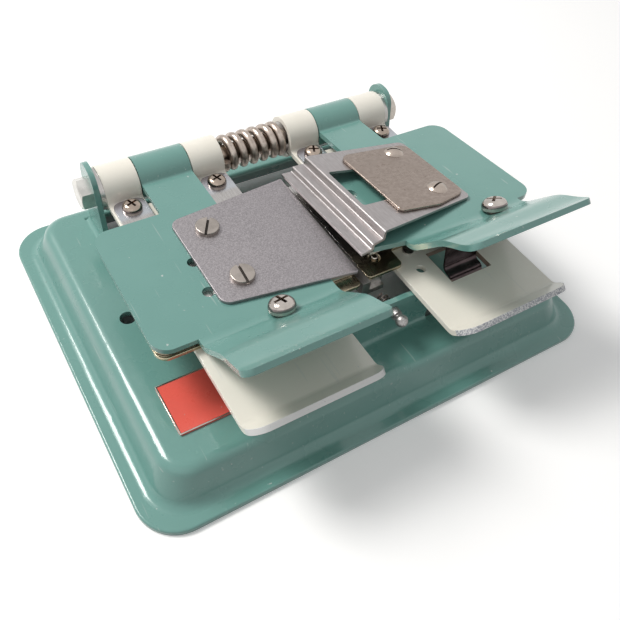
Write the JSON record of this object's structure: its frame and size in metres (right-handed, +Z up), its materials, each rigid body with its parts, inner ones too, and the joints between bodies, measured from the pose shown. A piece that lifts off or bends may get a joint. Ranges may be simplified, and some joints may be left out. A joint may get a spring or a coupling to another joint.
{
  "type": "film splicer",
  "caption": "Pressed-steel film splicer: tray base, rear hinge with spring, two cream lower plates with film beds, two green lifting clamps with upturned lips.",
  "frame": {"origin": "under the middle of the tray base, on the table", "axes": "+X right along the hinge, +Y to the back where the hinge is, +Z up"},
  "size_m": [0.14, 0.112, 0.0512],
  "materials": {
    "green_enamel": "gloss",
    "cream_enamel": "satin",
    "plain_steel": "satin",
    "matte_steel": "matte",
    "plated_screws": "polished",
    "spring_steel": "oiled",
    "red_plate": "gloss"
  },
  "bodies": {
    "base": {"base_pan": "green_enamel", "nameplate": "red_plate", "hinge_bolt": "plated_screws", "hinge_nut": "plated_screws", "ear_washers": "plain_steel", "left_hinge_sleeve": "plain_steel", "right_hinge_sleeve": "plain_steel", "hinge_spring": "spring_steel", "adjuster_spring": "spring_steel"},
    "adjuster": {"adjusting_screw": "plated_screws"},
    "lower_left": {"lower_left_plate": "cream_enamel", "left_film_bed": "plain_steel", "left_film_pin": "plated_screws", "left_bed_screws": "plated_screws", "left_plate_rivet": "plain_steel"},
    "lower_right": {"lower_right_plate": "cream_enamel", "right_film_bed": "plain_steel", "right_film_pin": "plated_screws", "right_bed_screws": "plated_screws", "right_plate_rivet": "plain_steel", "joint_bar": "plain_steel", "right_shear_blade": "plain_steel"},
    "upper_left": {"upper_left_plate": "green_enamel", "left_clamp_face": "plain_steel", "left_pressure_plate": "matte_steel", "left_plate_screws": "plated_screws", "left_lip_screw": "plated_screws", "left_latch_spring": "spring_steel"},
    "upper_right": {"upper_right_plate": "green_enamel", "right_clamp_face": "plain_steel", "right_spring_plate": "matte_steel", "right_backing_plate": "matte_steel", "right_plate_screws": "plated_screws", "right_lip_screw": "plated_screws", "right_latch_spring": "spring_steel"}
  },
  "joints": [
    {"name": "lower_left_hinge", "type": "hinge", "parent": "base", "child": "lower_left", "pos_m": [0.0015, 0.035, 0.027], "axis": [-1, 0, 0], "range_deg": [0, 80]},
    {"name": "lower_right_hinge", "type": "hinge", "parent": "base", "child": "lower_right", "pos_m": [0.0015, 0.035, 0.027], "axis": [-1, 0, 0], "range_deg": [0, 80]},
    {"name": "upper_left_hinge", "type": "hinge", "parent": "lower_left", "child": "upper_left", "pos_m": [0.0015, 0.035, 0.027], "axis": [-1, 0, 0], "range_deg": [0, 100]},
    {"name": "upper_right_hinge", "type": "hinge", "parent": "lower_right", "child": "upper_right", "pos_m": [0.0015, 0.035, 0.027], "axis": [-1, 0, 0], "range_deg": [-5.5, 94.5]},
    {"name": "adjusting_screw_turn", "type": "hinge", "parent": "base", "child": "adjuster", "pos_m": [0.0066, -0.0394, 0.0209], "axis": [0, 1, 0], "range_deg": [-360, 360]}
  ]
}
